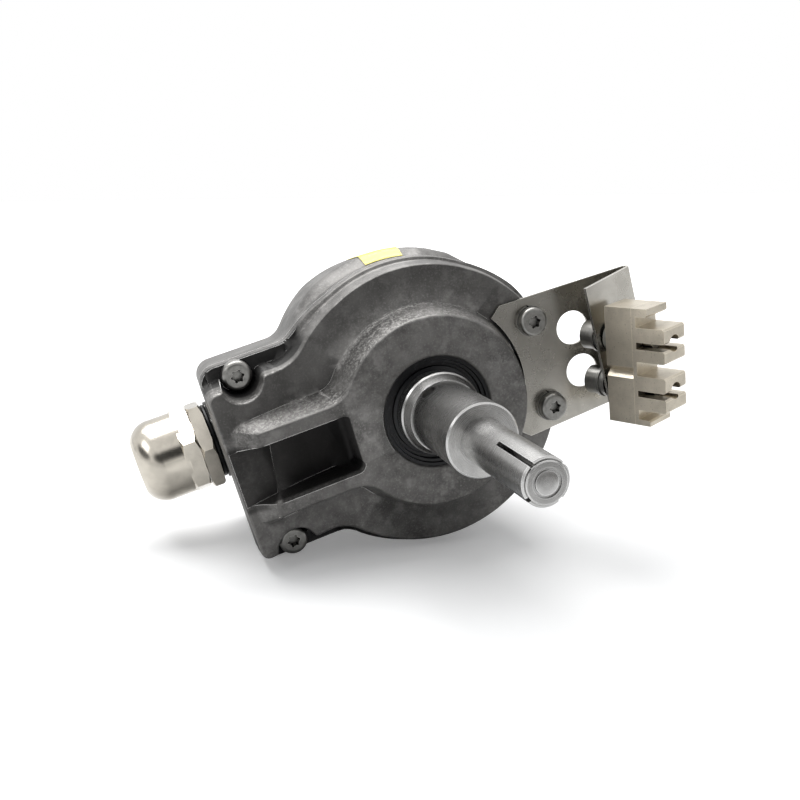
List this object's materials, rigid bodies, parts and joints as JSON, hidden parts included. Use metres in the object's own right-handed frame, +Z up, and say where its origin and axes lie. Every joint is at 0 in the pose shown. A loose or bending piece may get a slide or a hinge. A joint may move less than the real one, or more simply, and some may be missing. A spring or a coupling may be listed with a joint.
{
  "type": "incremental rotary encoder",
  "caption": "Incremental rotary encoder with slotted expanding shaft, cast body, terminal box, cable gland and sheet metal clamp arm.",
  "frame": {"origin": "centre of the shaft shoulder, where the 12 mm tip leaves the 20 mm shaft", "axes": "Y along the shaft with the tip toward -Y and the housing toward +Y, +Z up, X toward the clamp arm; the body leans 16.3 degrees about the shaft"},
  "size_m": [0.1565, 0.1274, 0.0884],
  "materials": {
    "cast_housing": "matt die-cast, stained dark grey",
    "gasket": "matt",
    "label": "satin, bare",
    "screw_steel": "zinc plated, worn",
    "shaft_steel": "finely turned",
    "seal_rubber": "satin",
    "bearing_steel": "ground",
    "spring_steel": "blackened",
    "turned_aluminium": "turned",
    "disc_steel": "etched",
    "circuit_board": "solder mask",
    "black_plastic": "matt",
    "gland_nickel": "nickel plated brass",
    "bracket_steel": "stainless sheet, satin",
    "clamp_nickel": "nickel plated, satin, pitted edges"
  },
  "bodies": {
    "housing": {"front_housing": "cast_housing", "rear_cover": "cast_housing", "housing_gasket": "gasket", "label": "label", "cover_screws": "screw_steel", "bracket_screws": "screw_steel", "bracket_washers": "screw_steel", "shaft_seal": "seal_rubber", "front_bearing_outer": "bearing_steel", "rear_bearing_outer": "bearing_steel", "outer_spacer": "bearing_steel", "bearing_circlip": "spring_steel", "sensor_board": "circuit_board", "terminal_board": "circuit_board", "sensor_head": "black_plastic", "light_source": "black_plastic", "terminal_block": "black_plastic", "board_screws": "screw_steel", "terminal_screws": "screw_steel", "rear_plug": "screw_steel", "gland_body": "gland_nickel", "gland_cap_nut": "gland_nickel", "gland_o_ring": "seal_rubber", "gland_insert": "seal_rubber", "torque_bracket": "bracket_steel", "clamp_base": "clamp_nickel", "clamp_jaws": "clamp_nickel", "clamp_screws": "screw_steel", "clamp_washers": "screw_steel", "clamp_spacers": "screw_steel"},
    "spindle": {"shaft": "shaft_steel", "seal_sleeve": "shaft_steel", "front_bearing_inner": "bearing_steel", "rear_bearing_inner": "bearing_steel", "inner_spacer": "shaft_steel", "shaft_circlip": "spring_steel", "disc_hub": "turned_aluminium", "code_disc": "disc_steel", "disc_clamp": "turned_aluminium"},
    "draw_screw": {"draw_screw": "screw_steel"},
    "expander": {"expander_pin": "shaft_steel"}
  },
  "joints": [
    {"name": "shaft_spin", "type": "hinge", "parent": "housing", "child": "spindle", "pos_m": [0, 0, 0], "axis": [0, 1, 0], "continuous": true},
    {"name": "draw_turn", "type": "hinge", "parent": "spindle", "child": "draw_screw", "pos_m": [0, 0, 0], "axis": [0, 1, 0], "range_deg": [0, 800]},
    {"name": "expander_slide", "type": "slide", "parent": "spindle", "child": "expander", "axis": [0, -1, 0], "range_m": [0, 0.0014]}
  ],
  "couplings": [
    {"joint": "draw_turn", "follows": "expander_slide", "rad_per_m": 8976}
  ]
}
